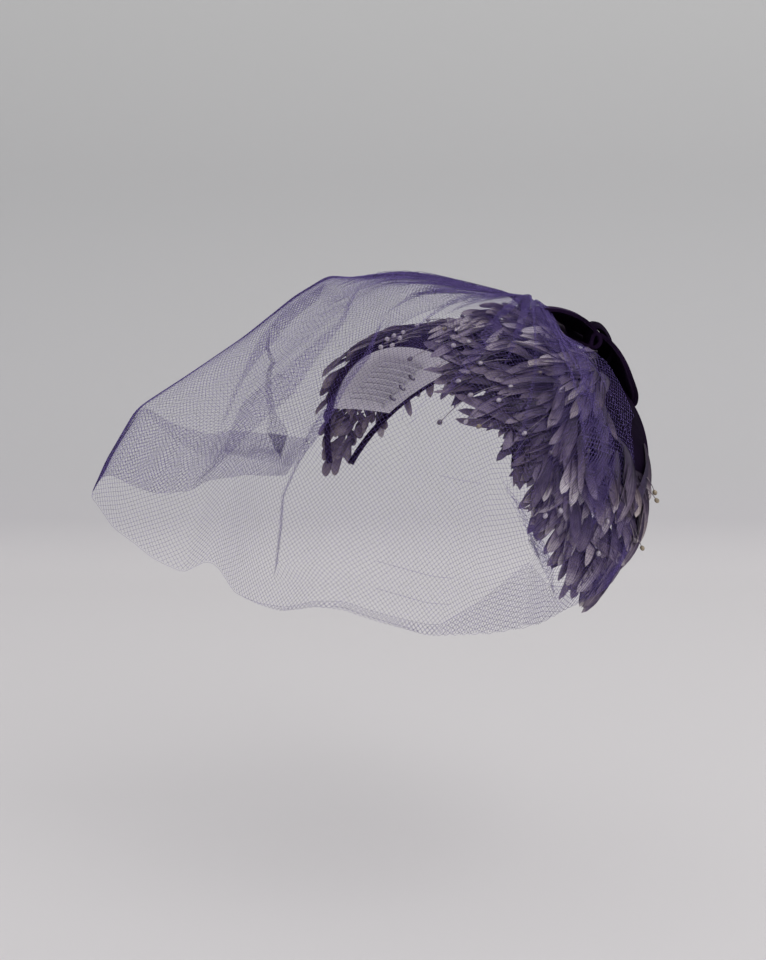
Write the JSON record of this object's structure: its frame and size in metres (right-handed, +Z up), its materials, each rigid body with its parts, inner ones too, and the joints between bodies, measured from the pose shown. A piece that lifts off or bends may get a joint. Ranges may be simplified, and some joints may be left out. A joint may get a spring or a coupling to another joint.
{
  "type": "fascinator headpiece",
  "caption": "Crescent half hat with shingled fabric petals and beaded stamens, a velvet bow behind and a net veil that lifts off the face.",
  "frame": {"origin": "top of the wearer's head, where the lining rests", "axes": "+Z up, -Y towards the wearer's face, +X towards the wearer's left"},
  "size_m": [0.1839, 0.2579, 0.154],
  "materials": {
    "velvet": "deep pile velvet, near black with a purple sheen",
    "buckram": "stiff woven buckram",
    "lining_cloth": "plain weave pale lilac lining",
    "wire": "thread-wrapped millinery wire",
    "petal_organza": "stiffened ribbed organza, slightly see-through",
    "stamen": "waxed thread with pearly bead tips",
    "thread": "cotton sewing thread",
    "comb_plastic": "smooth clear plastic",
    "net": "fine diamond veiling net"
  },
  "bodies": {
    "base": {"lining": "lining_cloth", "buckram_base": "buckram", "velvet_cover": "velvet", "front_edge_wire": "wire", "back_edge_wire": "wire", "front_edge_roll": "velvet", "back_edge_roll": "velvet", "near_tip_petals_outer": "petal_organza", "near_tip_petals_middle": "petal_organza", "near_tip_petals_inner": "petal_organza", "side_petals_outer": "petal_organza", "side_petals_middle": "petal_organza", "side_petals_inner": "petal_organza", "crown_petals_outer": "petal_organza", "crown_petals_middle": "petal_organza", "crown_petals_inner": "petal_organza", "far_horn_petals_outer": "petal_organza", "far_horn_petals_middle": "petal_organza", "far_horn_petals_inner": "petal_organza", "near_tip_stamens": "stamen", "side_stamens": "stamen", "crown_stamens": "stamen", "far_horn_stamens": "stamen", "bow_loop_front": "velvet", "bow_loop_rear": "velvet", "bow_knot": "velvet", "comb_left_stitches": "thread", "comb_right_stitches": "thread", "veil_gather": "net", "gather_binding": "thread"},
    "left_comb": {"comb_left": "comb_plastic"},
    "right_comb": {"comb_right": "comb_plastic"},
    "veil": {"veil_front": "net"}
  },
  "joints": [
    {"name": "comb_left_tilt", "type": "hinge", "parent": "base", "child": "left_comb", "pos_m": [0.04571, 0.06579, -0.05894], "axis": [0.2726, 0.0505, -0.9608], "range_deg": [0, 30]},
    {"name": "comb_right_tilt", "type": "hinge", "parent": "base", "child": "right_comb", "pos_m": [-0.0487, -0.02865, -0.0285], "axis": [0.415, 0.6081, 0.6767], "range_deg": [0, 30]},
    {"name": "veil_lift", "type": "hinge", "parent": "base", "child": "veil", "pos_m": [0.004, 0.03, 0.014], "axis": [-1, 0, 0], "range_deg": [0, 40]}
  ]
}
